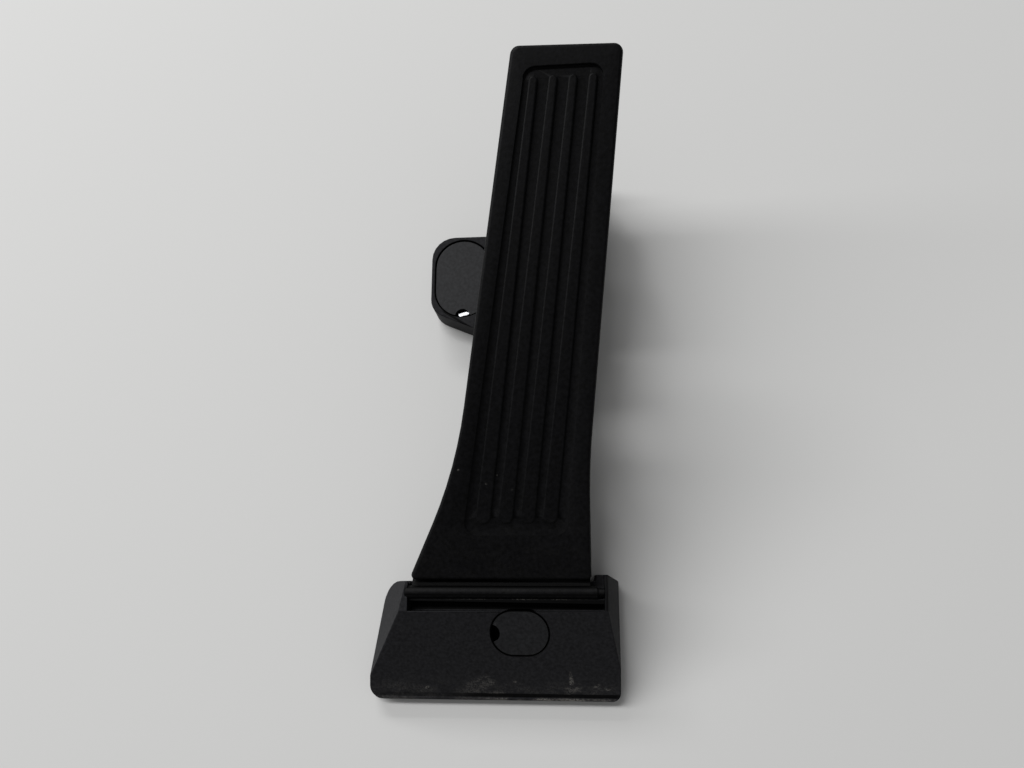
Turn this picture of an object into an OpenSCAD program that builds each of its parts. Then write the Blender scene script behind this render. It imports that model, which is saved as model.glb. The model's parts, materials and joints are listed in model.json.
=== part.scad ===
// Floor-mounted accelerator pedal module: a long ribbed pad hinged on a wedge-shaped foot.
// A lever under the pad works a sprung friction piston and a position sensor.
// Frame: origin where the front bolt's axis meets the mounting plane, +Y towards the
// pad's upper end, +X to the right as seen by the driver's foot, +Z up. Millimetres.

/* [Foot] */
// Forward edge of the foot, ahead of the front bolt
foot_front = 28.5; // [26:0.5:32]
// Rear wall of the foot, behind the front bolt
foot_rear = 20.9; // [20.5:0.1:21]
// Left end of the foot's front edge
foot_left = 66.8; // [65:0.2:68]
// Right side of the foot
foot_right = 41.5; // [40.5:0.5:44]
// How far the left side leans in from front to rear
foot_slant = 6.2; // [5:0.2:7]
// Height of the upright lip round the foot
lip_h = 5.5; // [4:0.5:6.5]
// Height of the foot's ridge above the mounting plane
ridge_h = 28.5; // [28:0.1:29]
// Distance of the slope's upper edge behind the front bolt
ridge_y = 8.9; // [8.5:0.1:9.4]
// Lean of the left side face from upright, in degrees
side_lean = 27.6; // [26:0.2:29]
// How far the left side face is turned inwards, in degrees
side_turn = 12.1; // [10:0.1:13]
// Height where the left side face starts at the front corner
side_low = 12.2; // [11:0.2:13]
// Wall thickness of the moulded housing
wall = 2.5; // [2:0.1:2.8]
/* [Hinge] */
// Hinge axis behind the front bolt
hinge_y = 16.5; // [16.3:0.1:16.8]
// Height of the hinge axis
hinge_z = 26.5; // [26.3:0.1:26.7]
// Radius of the pad's hinge bead
bead_r = 2.6; // [2.4:0.1:2.7]
// Running clearance of pins and pistons in their bores
run_gap = 0.06; // [0.03:0.01:0.1]
/* [Pad] */
// Tilt of the released pad above the mounting plane, in degrees
pad_tilt = 17; // [16:0.5:18]
// Length of the pad along its surface
pad_len = 215.8; // [210:0.2:220]
// Depth of the pad's skirt
pad_depth = 10; // [9:0.5:11]
// Thickness of the pad's top plate
plate_t = 3; // [2.6:0.1:3.4]
// Thickness of the pad's skirt
skirt_t = 2.2; // [1.8:0.1:2.6]
// Depth of the tread recess at its upper end
recess_top = 1.5; // [1.2:0.1:1.7]
// Depth of the tread recess at its lower end
recess_low = 0.7; // [0.5:0.1:0.9]
// Number of tread ribs
tread_count = 4; // [3:1:5]
// Depth of the slide face below the pad's surface
slide_depth = 22; // [21.5:0.5:22.5]
/* [Bolt caps] */
// Radius of the front cap's ends
front_cap_r = 9; // [8.5:0.1:9.3]
// Straight length of the front cap
front_cap_run = 5.8; // [5:0.2:6.5]
// Radius of the ear cap's ends
ear_cap_r = 13; // [12.5:0.1:13.4]
// Straight length of the ear cap
ear_cap_run = 12; // [10:0.5:13]
// Gap round a cap
cap_gap = 0.4; // [0.3:0.05:0.5]
// Thickness of a cap's top
cap_t = 2; // [1.6:0.1:2.4]
// Depth of a cap's skirt
cap_skirt = 5; // [4:0.5:5.5]
// Radius of the pry notch
notch_r = 3.6; // [3:0.1:3.8]
/* [Ear] */
// Ear bolt to the left of the front bolt
ear_x = 27.6; // [27:0.1:28]
// Ear bolt behind the front bolt
ear_y = 160.8; // [159:0.2:162]
// Height of the ear
ear_h = 15; // [14:0.5:16]
// Width of the rim round the ear cap
ear_rim = 1.8; // [1.5:0.1:2.2]
/* [Bolt sleeves] */
// Radius of the hole for a mounting bolt
bolt_r = 3.3; // [3.1:0.1:3.5]
// Outer radius of a sleeve
sleeve_r = 5.5; // [5:0.1:6]
// Radius of a sleeve's flange
flange_r = 7.4; // [7:0.1:7.8]
// Thickness of a sleeve's flange
flange_t = 1.5; // [1.2:0.1:1.8]
// Height of a well's floor, and so the length of its sleeve's shank
floor_h = 7; // [6.5:0.5:8]
/* [Mechanism housing] */
// Front wall of the mechanism housing
box_front = 138.5; // [137.5:0.5:139.5]
// Rear wall of the mechanism housing
box_rear = 196.5; // [196:0.5:200]
// Height of the mechanism housing with its cover
box_h = 27; // [27:0.1:27.4]
// Left side of the lever chamber
chamber_left = 0; // [-0.5:0.5:0.5]
// Width of the lever chamber
chamber_w = 20; // [19.5:0.5:20.5]
// Width of the electronics chamber
sensor_w = 8.6; // [8.4:0.1:9]
// Thickness of the covers
cover_t = 2.2; // [1.8:0.1:2.4]
// Thickness of the cover's seal
seal_t = 0.8; // [0.6:0.1:1]
/* [Lever] */
// Lever shaft behind the front bolt
lever_y = 160; // [159.5:0.1:160.5]
// Clearance between the lever's hub and the cover
hub_gap = 0.3; // [0.2:0.05:0.5]
// Length of the lever's arm
arm_len = 46; // [45.5:0.1:46.5]
// Radius of the lever's nose
nose_r = 4; // [3.6:0.1:4.2]
// Radius of the lever's shaft
shaft_r = 3; // [2.6:0.1:3.2]
// Radius of the lever's hub
hub_r = 4.5; // [4.2:0.1:4.5]
// Length of the short arm that pushes the piston
paddle_len = 10; // [9.8:0.1:10.2]
// Radius of the short arm's tip
paddle_r = 2.5; // [2.2:0.1:2.6]
// Lean of the short arm when the pad is released, in degrees
paddle_lean = 12.3; // [12:0.1:12.6]
// Rest gap between the lever's nose and the slide face
nose_gap = 0.6; // [0.5:0.05:0.8]
// Rest gap between parts that push each other
push_gap = 0.3; // [0.25:0.05:0.4]
/* [Springs] */
// Outer radius of the friction piston
piston_r = 6.3; // [6.1:0.1:6.4]
// Wall of the piston
piston_wall = 1.1; // [0.9:0.1:1.3]
// Wire radius of the outer spring
outer_wire = 0.55; // [0.45:0.05:0.6]
// Wire radius of the inner spring
inner_wire = 0.4; // [0.3:0.05:0.45]
// Turns of the outer spring
outer_turns = 8; // [6:1:9]
// Turns of the inner spring
inner_turns = 11; // [9:1:12]

/* [Hidden] */
$fn = 48;
eps = 0.01;
black = [0.11, 0.11, 0.12];
dark = [0.17, 0.17, 0.18];
steel = [0.72, 0.72, 0.74];
rubber = [0.07, 0.07, 0.07];
white = [0.88, 0.88, 0.84];
brass = [0.80, 0.65, 0.30];

// Foot
channel_depth = 5;
channel_gap = 1.4;
trough_left = -46.6;
trough_right = 35;
trough_low = 4.5;
slope_foot = foot_front - 1.3;
slope_run = ridge_y + slope_foot;
slope = atan((ridge_h - lip_h) / slope_run);
lug_rear = foot_rear + 2.7;
lug_left = 31.6;
lug_in = 5;
facet_low = 13;
facet_in = 5.1;
bead_left = -47.6;
bead_right = 32.4;
journal_r = 1.8;
journal_right = 36;
end_gap = 0.2;
// Pad, measured along its own surface from its lower edge
pad_back = 4.8;
pad_up = 3;
pad_y = hinge_y + pad_back;
pad_z = hinge_z + pad_up;
bead_v = -(pad_back * cos(pad_tilt) + pad_up * sin(pad_tilt));
bead_w = pad_up * cos(pad_tilt) - pad_back * sin(pad_tilt);
pad_low_left = -46;
pad_low_right = 30;
pad_top_left = 2;
pad_top_w = 44.6;
pad_top_right = pad_top_left + pad_top_w;
pad_top_slant = 1.2;
bend_v = 46.5;
bend_left = -25;
recess_low_v = 18.7;
recess_end = 8.9;
recess_top_v = pad_len - recess_end;
tread_low_v = recess_low_v + 4.7;
tread_top_v = recess_top_v - 3.6;
strap_t = 2.2;
strap_drop = 6.5;
// Mechanism
mid_x = chamber_left + chamber_w / 2;
chamber_front = box_front + wall;
chamber_rear = box_rear - wall;
partition = 3;
sensor_x = chamber_left + chamber_w + partition;
box_right = sensor_x + sensor_w;
box_left = chamber_left - 4;
cover_z = box_h - cover_t;
lever_z = cover_z - hub_r - hub_gap;
spine_left = -10;
spine_right = 22;
spine_h = 12;
tray_front = 92;
slot_half = 5.2;
slot_low = lever_z - 9.5;
piston_z = lever_z - paddle_len;
stem_r = 2.4;
cup_gap = 1.6;
cup_len = 14;
cup_floor = 3;
guide_lead = 4.4;
cup_front = lever_y + hub_r + cup_gap;
cup_rear = cup_front + cup_len;
guide_front = cup_front + guide_lead;
seat_t = 1.5;
seat_spigot = 3;
slide_t = 2;
slide_half = 6;
slide_wall = 1.6;
// Contact of the lever's nose with the slide face
lever_dist = (hinge_y - lever_y) * -sin(pad_tilt) + (hinge_z - lever_z) * cos(pad_tilt);
nose_drop = lever_dist + bead_w - slide_depth - nose_r - nose_gap;
arm_up = asin(nose_drop / arm_len) - pad_tilt;
nose_v = (lever_y - hinge_y) * cos(pad_tilt) + (lever_z - hinge_z) * sin(pad_tilt)
    - arm_len * cos(arm_up + pad_tilt) + bead_v;
slide_front = nose_v - 9.5;
slide_rear = nose_v + 8;
arm_half = 4;
arm_root_r = 4;
arm_tip_r = 2.6;
paddle_root_r = 3.2;
paddle_neck_r = 1.6;
paddle_y = lever_y - paddle_len * sin(paddle_lean);
paddle_z = lever_z - paddle_len * cos(paddle_lean);
stem_front = paddle_y + paddle_r + push_gap;
idle_face = paddle_y - paddle_r - push_gap;
idle_t = 2;
idle_rib = 2.4;
idle_half = 4;
idle_low = piston_z - 5;
idle_top = piston_z + 3;
spring_front = cup_front + cup_floor;
spring_rear = chamber_rear - seat_t;
spring_gap = 0.3;
outer_mean = piston_r - piston_wall - outer_wire - spring_gap;
inner_mean = outer_mean - outer_wire - inner_wire - 2 * spring_gap;
buffer_y = 80;
buffer_r = 6;
buffer_foot = 7;
// Fasteners, bushes and board
bush_t = 1.5;
bush_deep = 2.5;
bush_proud = 0.6;
boss_r = 2.9;
boss_in = 2.6;
screw_r = 1.2;
screw_len = 6.5;
screw_clear_r = 1.7;
head_r = 2.4;
head_t = 1.6;
drive_r = 1;
drive_deep = 1;
small_screw_r = 1;
small_head_r = 1.9;
small_head_t = 1;
board_gap = 0.8;
board_end = 6;
board_spot_in = 3;
board_spot_up = 3.4;
chip_side = 7;
chip_t = 1.4;
chip_small = 6;
chip_row = 1.2;
chip_pitch = 2.2;

// Plane geometry: unit vectors, inset outlines and rounded corners
function unit(v) = v / norm(v);
function left_of(v) = [-v[1], v[0]];
function wrap(p, i) = p[(i + len(p)) % len(p)];
// An outline is a list of [x, y, corner radius], counter-clockwise; r < 0 marks a hollow corner
function inset(p, t) = [for (i = [0 : len(p) - 1])
    let (a = wrap(p, i - 1), b = p[i], c = wrap(p, i + 1),
         n1 = left_of(unit([b[0] - a[0], b[1] - a[1]])),
         n2 = left_of(unit([c[0] - b[0], c[1] - b[1]])),
         m = (n1 + n2) * t / (1 + n1 * n2))
    [b[0] + m[0], b[1] + m[1], b[2] < 0 ? b[2] - t : max(b[2] - t, 0.15)]];
function turn(a) = a > 180 ? a - 360 : (a < -180 ? a + 360 : a);
function corner(a, b, c, r, n) =
    let (d1 = unit([a[0] - b[0], a[1] - b[1]]), d2 = unit([c[0] - b[0], c[1] - b[1]]),
         h = acos(d1 * d2) / 2, t = r / tan(h), o = [b[0], b[1]] + unit(d1 + d2) * r / sin(h),
         s = [b[0], b[1]] + d1 * t - o, e = [b[0], b[1]] + d2 * t - o,
         a0 = atan2(s[1], s[0]), da = turn(atan2(e[1], e[0]) - a0))
    [for (k = [0 : n]) o + r * [cos(a0 + da * k / n), sin(a0 + da * k / n)]];
function rounded(p, n = 6) = [for (i = [0 : len(p) - 1])
    each corner(wrap(p, i - 1), p[i], wrap(p, i + 1), abs(p[i][2]), n)];
module outline(p, t = 0, n = 6) polygon(rounded(inset(p, t), n));
// Closed body through rings of equal count, each [inset, height]
module skin(p, rings, n = 6) {
    loops = [for (r = rings) [for (q = rounded(inset(p, r[0]), n)) [q[0], q[1], r[1]]]];
    k = len(loops[0]);
    last = len(rings) - 1;
    sides = [for (j = [0 : last - 1], i = [0 : k - 1])
        let (a = j * k + i, b = j * k + (i + 1) % k) each [[a, a + k, b], [b, a + k, b + k]]];
    polyhedron([for (l = loops) each l],
        concat([[for (i = [0 : k - 1]) i]], sides, [[for (i = [k - 1 : -1 : 0]) last * k + i]]));
}
module stadium(r, run) {
    translate([-run / 2, 0]) circle(r);
    translate([run / 2, 0]) circle(r);
    square([run, 2 * r], center = true);
}
module along_x(x0, x1) translate([x0, 0, 0]) rotate([90, 0, 90]) linear_extrude(x1 - x0) children();
module rod_x(r, x0, x1) translate([x0, 0, 0]) rotate([0, 90, 0]) cylinder(r = r, h = x1 - x0);
module rod_y(r, y0, y1) translate([0, y0, 0]) rotate([-90, 0, 0]) cylinder(r = r, h = y1 - y0);
module block(a, b) translate(a) cube(b - a);
module on_pad() translate([0, pad_y, pad_z]) rotate([pad_tilt, 0, 0]) children();
module at_ear() translate([-ear_x, ear_y, 0]) children();

// Foot: a wedge with a sloping front, a leaning left side and a chamfered right side
foot_plan = [[-foot_left, -foot_front, 5], [foot_right, -foot_front, 3.5],
             [foot_right, foot_rear, 1], [foot_right - lug_in, lug_rear, 1],
             [lug_left, lug_rear, 0.5], [lug_left, foot_rear, -0.5],
             [-foot_left + foot_slant, foot_rear, 10]];
module foot_form(t = 0) {
    lean = tan(side_lean);
    low = t > 0 ? -1 : 0;
    intersection() {
        translate([0, 0, low]) linear_extrude(40) outline(foot_plan, t);
        along_x(-90, 90) polygon([[-foot_front - 5, low], [-foot_front - 5, lip_h - t * 0.6],
            [-slope_foot + t * tan(slope / 2), lip_h - t * 0.6], [ridge_y + t * 0.3, ridge_h - t],
            [lug_rear + 5, ridge_h - t], [lug_rear + 5, low]]);
        translate([-foot_left, -foot_front, 0]) rotate([0, 0, -side_turn]) translate([0, 80, 0])
            rotate([90, 0, 0]) linear_extrude(160) polygon([
                [lean * (low - side_low) + t / cos(side_lean), low], [200, low], [200, 60],
                [lean * (60 - side_low) + t / cos(side_lean), 60]]);
        translate([0, 80, 0]) rotate([90, 0, 0]) linear_extrude(160)
            polygon([[-100, low], [foot_right - t, low], [foot_right - t, facet_low - t / 2],
                [foot_right - facet_in - t, ridge_h], [-100, ridge_h]]);
    }
}
// Ribs that stiffen the hollow underside of the foot
module foot_ribs() {
    intersection() {
        foot_form(wall / 2);
        union() {
            for (x = [-50 : 16 : 40]) if (abs(x) > 10) block([x - 0.9, -40, 1], [x + 0.9, 40, 40]);
            for (y = [-9, 9.5]) block([-70, y - 0.9, 1], [50, y + 0.9, 40]);
        }
    }
}
// Groove that carries the pad's hinge bead, open upwards and to the rear, with a channel before it
module trough() {
    translate([0, hinge_y, hinge_z]) {
        rod_x(bead_r + run_gap, bead_left - end_gap, trough_right);
        rod_x(journal_r + run_gap, trough_right - 1, journal_right + end_gap);
    }
    block([trough_left, ridge_y, hinge_z], [trough_right, lug_rear + 5, 40]);
    block([trough_left, ridge_y, hinge_z - channel_depth],
          [trough_right, hinge_y - bead_r - channel_gap, hinge_z + 1]);
    block([trough_left, hinge_y, hinge_z - trough_low], [trough_right, lug_rear + 5, 40]);
}
// Bearing block behind and below the groove
module trough_block() {
    intersection() {
        foot_form(0);
        block([-60, ridge_y - wall, hinge_z - channel_depth - wall], [45, 40, 40]);
    }
}
ear_side = -ear_x - ear_cap_r - cap_gap - ear_rim;
ear_rear = ear_y + 21.1;
ear_plan = [[ear_side, ear_rear, 11], [ear_side, ear_y - 16, 9], [ear_side + 7.4, ear_y - 19.6, 6],
            [spine_left + wall, box_front - 9, 1], [spine_left + wall, box_front + 1, -0.5],
            [box_left + 2, box_front + 1, 0.5], [box_left + 2, ear_rear, 1]];
module ear_well() {
    at_ear() translate([0, 0, floor_h]) linear_extrude(40) rotate(90)
        stadium(ear_cap_r + cap_gap, ear_cap_run);
}
module front_well() {
    translate([0, 0, floor_h]) linear_extrude(40) stadium(front_cap_r + cap_gap, front_cap_run);
}
// Spine from the foot to the mechanism housing, an open tray under the lever's nose
module spine() {
    block([spine_left, foot_rear - wall, 0], [spine_left + wall, box_front + 1, spine_h]);
    block([spine_right - wall, foot_rear - wall, 0], [spine_right, box_front + 1, spine_h]);
    block([spine_left, foot_rear - wall, spine_h - wall], [spine_right, tray_front, spine_h]);
    block([spine_left, tray_front - wall, 0], [spine_right, box_front + 1, wall]);
    block([spine_left, tray_front - wall, 0], [spine_right, tray_front, spine_h]);
    block([mid_x - 5, foot_rear - wall, 0], [mid_x - 3, tray_front, spine_h - eps]);
    for (y = [38, 56, 74]) block([spine_left, y - 0.9, 0], [spine_right, y + 0.9, spine_h - eps]);
    translate([mid_x, buffer_y, spine_h - 1]) cylinder(r = buffer_r - 1, h = buffer_foot + 1);
}
module mechanism_box() {
    block([box_left, box_front, 0], [box_right, box_rear, cover_z]);
    block([box_left, box_front, 0], [chamber_left, box_rear, box_h]);
    block([chamber_left + chamber_w, box_front, 0], [box_right, box_rear, box_h]);
}
module chambers() {
    difference() {
        block([chamber_left, chamber_front, wall], [chamber_left + chamber_w, chamber_rear, 40]);
        block([chamber_left - 1, guide_front, 0], [50, cup_rear, cover_z]);
        block([mid_x - 5, idle_face - idle_t - idle_rib, 0], [mid_x + 5, idle_face - idle_t, idle_top]);
    }
    block([sensor_x, chamber_front, wall], [60, chamber_rear, cover_z]);
    translate([mid_x, 0, piston_z]) rod_y(piston_r + run_gap, guide_front - 1, cup_rear + 1);
    block([mid_x - slot_half, box_front - 1, slot_low], [mid_x + slot_half, chamber_front + 1, 40]);
    translate([0, lever_y, lever_z]) rod_x(shaft_r + bush_t, chamber_left - bush_deep, sensor_x + 1);
}
// Four bosses in the electronics chamber take the side cover's screws
screw_spots = [for (y = [chamber_front + boss_in, chamber_rear - boss_in],
                    z = [wall + boss_in, cover_z - boss_in]) [y, z]];
module cover_bosses() {
    for (s = screw_spots) translate([0, s[0], s[1]]) rod_x(boss_r, sensor_x - 1, box_right);
}
connector_x = sensor_x + 5;
connector_z = 13;
socket_rear = box_rear + 17;
module connector_shell() {
    difference() {
        block([connector_x - 6.5, box_rear - eps, connector_z - 9],
              [connector_x + 6.5, socket_rear, connector_z + 9]);
        block([connector_x - 4.6, box_rear + 1.5, connector_z - 7],
              [connector_x + 4.6, socket_rear + 1, connector_z + 7]);
    }
    block([connector_x - 2.5, box_rear + 5, connector_z + 9 - eps],
          [connector_x + 2.5, box_rear + 13, connector_z + 10.5]);
}
pin_spots = [for (x = [-2, 2], z = [-4, 0, 4]) [connector_x + x, connector_z + z]];
pin_r = 0.5;

module housing() {
    color(black) difference() {
        union() {
            difference() {
                foot_form(0);
                foot_form(wall);
            }
            foot_ribs();
            trough_block();
            intersection() {
                foot_form(0);
                linear_extrude(40) stadium(front_cap_r + cap_gap + 2, front_cap_run);
            }
            spine();
            mechanism_box();
            linear_extrude(ear_h) outline(ear_plan);
            connector_shell();
        }
        trough();
        front_well();
        ear_well();
        chambers_cut();
        translate([0, 0, -1]) cylinder(r = sleeve_r, h = 40);
        at_ear() translate([0, 0, -1]) cylinder(r = sleeve_r, h = 40);
        ear_hollows();
        for (p = pin_spots) translate([p[0], 0, p[1]]) rod_y(pin_r, box_rear - wall - 1, socket_rear);
        for (p = board_spots) translate([0, p[0], p[1]])
            rod_x(small_screw_r, sensor_x - 2, board_x + 1);
    }
}
// Chambers with the cover bosses left standing and their screw holes drilled
module chambers_cut() {
    difference() {
        chambers();
        cover_bosses();
        board_posts();
    }
    for (s = screw_spots) translate([0, s[0], s[1]])
        rod_x(screw_r, box_right - screw_len - 0.5, box_right + 1);
}
// Pockets that lighten the web between the ear and the mechanism housing
module ear_hollows() {
    block([box_left - 6.5, ear_y - 20, -1], [box_left - 0.5, ear_y - 1, ear_h - wall]);
    block([box_left - 6.5, ear_y + 1, -1], [box_left - 0.5, ear_y + 19, ear_h - wall]);
}
// Stepped sleeve that takes the clamping load of a mounting bolt
module sleeve() {
    color(steel) difference() {
        union() {
            cylinder(r = sleeve_r, h = floor_h);
            translate([0, 0, floor_h]) cylinder(r = flange_r, h = flange_t);
        }
        translate([0, 0, -1]) cylinder(r = bolt_r, h = floor_h + flange_t + 2);
    }
}
module front_bolt_sleeve() sleeve();
module ear_bolt_sleeve() at_ear() sleeve();
// The front cap lies flush with the slope; the slope's plane passes through the lip's edge
module under_slope(depth) {
    translate([0, -slope_foot, lip_h]) rotate([slope, 0, 0]) block([-30, -10, -depth], [30, 70, 0]);
}
module front_bolt_cap() {
    color(dark) difference() {
        union() {
            intersection() {
                linear_extrude(40) stadium(front_cap_r, front_cap_run);
                under_slope(cap_t);
            }
            intersection() {
                linear_extrude(40) difference() {
                    stadium(front_cap_r, front_cap_run);
                    stadium(front_cap_r - 1.4, front_cap_run);
                }
                under_slope(cap_skirt);
            }
        }
        translate([-front_cap_run / 2 - front_cap_r, 0, 0]) cylinder(r = notch_r, h = 40);
    }
}
module ear_bolt_cap() {
    color(dark) at_ear() difference() {
        translate([0, 0, ear_h - 0.4]) mirror([0, 0, 1]) {
            linear_extrude(cap_t) rotate(90) stadium(ear_cap_r, ear_cap_run);
            linear_extrude(cap_skirt) rotate(90) difference() {
                stadium(ear_cap_r, ear_cap_run);
                stadium(ear_cap_r - 1.4, ear_cap_run);
            }
        }
        translate([0, -ear_cap_run / 2 - ear_cap_r, 0]) cylinder(r = notch_r, h = 40);
    }
}
// Cover over the lever chamber, slotted for the arm
module mechanism_cover() {
    color(dark) difference() {
        block([chamber_left + 0.1, box_front, cover_z],
              [chamber_left + chamber_w - 0.1, box_rear, box_h]);
        block([mid_x - slot_half, box_front - 1, cover_z - 1], [mid_x + slot_half, lever_y - 2, 40]);
    }
}
module side_cover() {
    color(dark) difference() {
        union() {
            block([box_right + seal_t, box_front, 0],
                  [box_right + seal_t + cover_t, box_rear - 0.3, box_h]);
            for (y = [chamber_front + 10 : 8 : chamber_rear - 9])
                block([box_right + seal_t + cover_t - eps, y - 0.7, 4],
                      [box_right + seal_t + cover_t + 0.8, y + 0.7, box_h - 4]);
        }
        for (s = screw_spots) translate([0, s[0], s[1]]) rod_x(screw_clear_r, box_right, box_right + 10);
    }
}
module cover_seal() {
    color(rubber) difference() {
        block([box_right, box_front + 0.3, 0.3], [box_right + seal_t, box_rear - 0.3, box_h - 0.3]);
        block([box_right - 1, chamber_front + 2 * boss_r, wall],
              [box_right + cover_t, chamber_rear - 2 * boss_r, cover_z]);
        block([box_right - 1, chamber_front, wall + 2 * boss_r],
              [box_right + cover_t, chamber_rear, cover_z - 2 * boss_r]);
        for (s = screw_spots) translate([0, s[0], s[1]])
            rod_x(screw_clear_r, box_right - 1, box_right + cover_t);
    }
}
module cover_screws() {
    head_x = box_right + seal_t + cover_t;
    color(steel) for (s = screw_spots) translate([0, s[0], s[1]]) difference() {
        union() {
            rod_x(screw_r, box_right - screw_len, head_x + eps);
            rod_x(head_r, head_x, head_x + head_t);
        }
        rod_x(drive_r, head_x + head_t - drive_deep, head_x + head_t + 1);
    }
}
board_x = sensor_x + 4;
board_t = 1.4;
board_front = chamber_front + board_end;
board_rear = chamber_rear - board_end;
board_spots = [for (y = [board_front + board_spot_in, board_rear - board_spot_in])
               [y, wall + board_spot_up]];
module board_posts() {
    for (p = board_spots) translate([0, p[0], p[1]]) rod_x(2, sensor_x - 1, board_x);
}
module circuit_board() {
    color([0.10, 0.35, 0.18]) difference() {
        block([board_x, board_front, wall + board_gap], [board_x + board_t, board_rear, cover_z - board_gap]);
        for (p = board_spots) translate([0, p[0], p[1]])
            rod_x(small_screw_r + run_gap, board_x - 1, board_x + board_t + 1);
    }
}
module board_screws() {
    color(steel) for (p = board_spots) translate([0, p[0], p[1]]) {
        rod_x(small_screw_r, sensor_x - 1.5, board_x + board_t + eps);
        rod_x(small_head_r, board_x + board_t, board_x + board_t + small_head_t);
    }
}
module sensor_chips() {
    chip_x = board_x + board_t;
    color(rubber) {
        block([chip_x, lever_y - chip_side / 2, lever_z + 1 - chip_side],
              [chip_x + chip_t, lever_y + chip_side / 2, lever_z + 1]);
        block([chip_x, lever_y + chip_side + 2, lever_z - 2 - chip_small],
              [chip_x + chip_t, lever_y + chip_side + 2 + chip_small, lever_z - 2]);
        for (k = [1 : 4])
            block([chip_x, lever_y - chip_side / 2 - chip_pitch * k, lever_z - 8.8],
                  [chip_x + chip_t / 2, lever_y - chip_side / 2 - chip_pitch * k + chip_row, lever_z - 7]);
    }
}
module connector_pins() {
    color(brass) for (p = pin_spots) translate([p[0], 0, p[1]])
        rod_y(pin_r, board_rear + 0.6, box_rear + 12);
}
// Plain bushes carry the lever's shaft in both walls of the chamber
module shaft_bushes() {
    color(brass) translate([0, lever_y, lever_z]) difference() {
        union() {
            rod_x(shaft_r + bush_t, chamber_left - bush_deep, chamber_left + bush_proud);
            rod_x(shaft_r + bush_t, chamber_left + chamber_w - bush_proud, sensor_x);
        }
        rod_x(shaft_r + run_gap, chamber_left - 5, sensor_x + 5);
    }
}
// Coil of round wire along Y from y0 to y1, ends closed flat against their seats
module coil(mean, wire, turns, y0, y1) {
    steps = turns * 16;
    sides = 8;
    lift = y1 - y0 - 2 * wire;
    pts = [for (i = [0 : steps], j = [0 : sides - 1])
        let (a = 360 * i / 16, b = 360 * j / sides, r = mean + wire * cos(b),
             y = y0 + wire + lift * i / steps + wire * sin(b))
        [mid_x + r * cos(a), y, piston_z + r * sin(a)]];
    faces = concat([[for (j = [0 : sides - 1]) j]],
        [for (i = [0 : steps - 1], j = [0 : sides - 1])
            let (a = i * sides + j, b = i * sides + (j + 1) % sides)
            [a, a + sides, b + sides, b]],
        [[for (j = [sides - 1 : -1 : 0]) steps * sides + j]]);
    polyhedron(pts, faces);
}
module outer_spring() color(steel) coil(outer_mean, outer_wire, outer_turns, spring_front, spring_rear);
module inner_spring() color(steel) coil(inner_mean, inner_wire, inner_turns, spring_front, spring_rear);
module spring_seat() {
    color(white) translate([mid_x, 0, piston_z]) {
        rod_y(outer_mean + outer_wire + 0.4, spring_rear, chamber_rear);
        rod_y(inner_mean - inner_wire - 0.2, spring_rear - seat_spigot, spring_rear + eps);
    }
}
module friction_piston() {
    color(white) translate([mid_x, 0, piston_z]) {
        rod_y(stem_r, stem_front, cup_front + 1);
        difference() {
            rod_y(piston_r, cup_front, cup_rear);
            rod_y(piston_r - piston_wall, spring_front, cup_rear + 1);
        }
    }
}
module idle_buffer() {
    color(rubber) block([mid_x - idle_half, idle_face - idle_t, idle_low],
                        [mid_x + idle_half, idle_face, idle_top]);
}
module full_travel_buffer() {
    color(rubber) translate([mid_x, buffer_y, spine_h + buffer_foot]) {
        cylinder(r = buffer_r - 0.8, h = 1);
        translate([0, 0, 1]) cylinder(r = buffer_r, h = 2.4);
        translate([0, 0, 3.4]) cylinder(r1 = buffer_r, r2 = buffer_r - 1.2, h = 1.2);
    }
}
// Pad outline in its own plane, x across and y up the pad from its lower edge
pad_plan = [[pad_low_left, 0, 1.8], [pad_low_right, 0, 1.8], [pad_low_right, bend_v, -300],
            [pad_top_right, pad_len - pad_top_slant, 3.6], [pad_top_left, pad_len, 3.6],
            [bend_left, bend_v, -193]];
function edge_left(v) = bend_left + (v - bend_v) * (pad_top_left - bend_left) / (pad_len - bend_v);
function edge_right(v) = pad_low_right
    + (v - bend_v) * (pad_top_right - pad_low_right) / (pad_len - pad_top_slant - bend_v);
recess_in_left = 6.6;
recess_in_right = 6.9;
recess_plan = [[edge_left(recess_low_v) + recess_in_left, recess_low_v, 5],
               [edge_right(recess_low_v) - recess_in_right, recess_low_v, 5],
               [edge_right(recess_top_v) - recess_in_right, recess_top_v, 5],
               [edge_left(recess_top_v) + recess_in_left, recess_top_v, 5]];
recess_tilt = atan((recess_top - recess_low) / (recess_top_v - recess_low_v));
// Tread ribs share the recess's width: pitch and width are parts of it, [low end, top end]
rib_pitch = [0.86, 0.99];
rib_width = [0.62, 0.46];
function floor_w(v) = edge_right(v) - edge_left(v) - recess_in_left - recess_in_right;
function recess_mid(v) = edge_left(v) + recess_in_left + floor_w(v) / 2;
function rib_x(v, k, pitch) = recess_mid(v) + (k - (tread_count - 1) / 2) * pitch * floor_w(v) / tread_count;
module tread_rib(k) {
    lo = tread_low_v;
    hi = tread_top_v;
    a = rib_width[0] * floor_w(lo) / tread_count / 2;
    b = rib_width[1] * floor_w(hi) / tread_count / 2;
    x0 = rib_x(lo, k, rib_pitch[0]);
    x1 = rib_x(hi, k, rib_pitch[1]);
    skin([[x0 - a, lo, a * 0.95], [x0 + a, lo, a * 0.95], [x1 + b, hi, b * 0.95], [x1 - b, hi, b * 0.95]],
         [[0, -recess_top - 0.2], [0, -0.75], [0.25, -0.35], [0.8, -0.12]], 5);
}
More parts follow.
